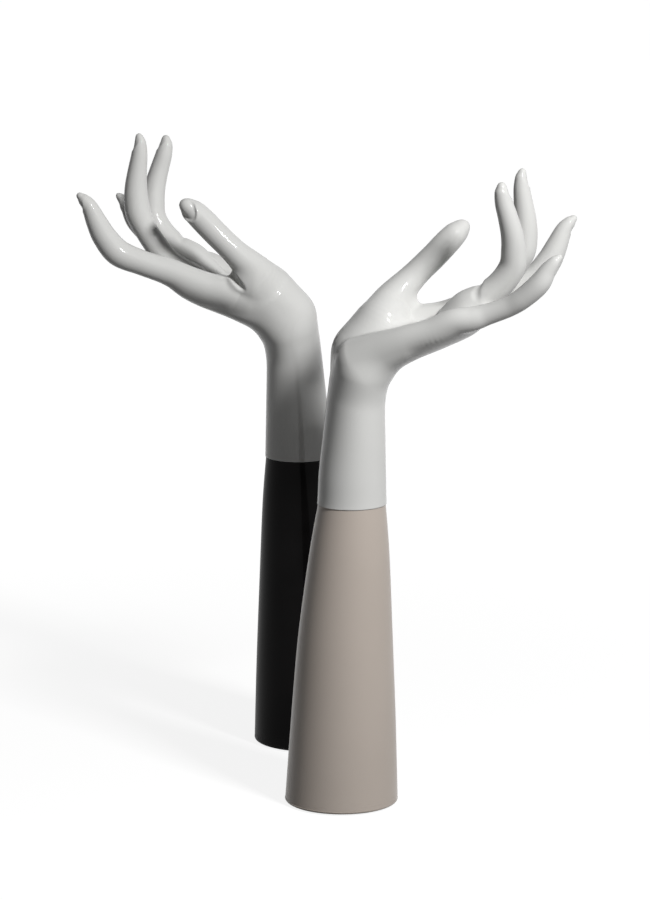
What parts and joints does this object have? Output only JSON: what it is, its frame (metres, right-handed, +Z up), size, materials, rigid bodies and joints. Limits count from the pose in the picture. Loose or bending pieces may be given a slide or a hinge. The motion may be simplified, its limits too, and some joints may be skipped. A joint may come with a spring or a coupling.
{
  "type": "hand sculpture",
  "caption": "Free-standing left forearms with raised, open-palmed hands, set to point opposite ways; white gloss hands on tapered lacquered sleeves.",
  "frame": {"origin": "centre of the front arm's foot, on the table", "axes": "+X the way the front hand's fingers point, +Y towards the rear arm, +Z up the forearms"},
  "size_m": [0.3476, 0.3108, 0.4502],
  "materials": {
    "white_lacquer": "cast resin with a smooth white gloss lacquer",
    "taupe_lacquer": "cast resin with a taupe gloss lacquer",
    "black_lacquer": "cast resin with a black high-gloss lacquer",
    "fibreboard": "sawn and drilled fibreboard",
    "felt": "dense wool felt",
    "ballast_iron": "rough casting",
    "plated_steel": "zinc plated",
    "brass_insert": "turned"
  },
  "bodies": {
    "front_arm": {"front_hand": "white_lacquer", "front_sleeve": "taupe_lacquer", "front_dowel": "plated_steel", "front_anchor": "brass_insert", "front_tie_rod": "plated_steel", "front_ballast": "ballast_iron", "front_base_plate": "fibreboard", "front_washer": "plated_steel", "front_nut": "plated_steel", "front_felt_pad": "felt"},
    "rear_arm": {"rear_hand": "white_lacquer", "rear_sleeve": "black_lacquer", "rear_dowel": "plated_steel", "rear_anchor": "brass_insert", "rear_tie_rod": "plated_steel", "rear_ballast": "ballast_iron", "rear_base_plate": "fibreboard", "rear_washer": "plated_steel", "rear_nut": "plated_steel", "rear_felt_pad": "felt"}
  },
  "joints": [
    {"name": "rear_arm_turn", "type": "hinge", "parent": "front_arm", "child": "rear_arm", "pos_m": [-0.0157, 0.1628, 0], "axis": [0, 0, 1], "range_deg": [-180, 90]}
  ]
}
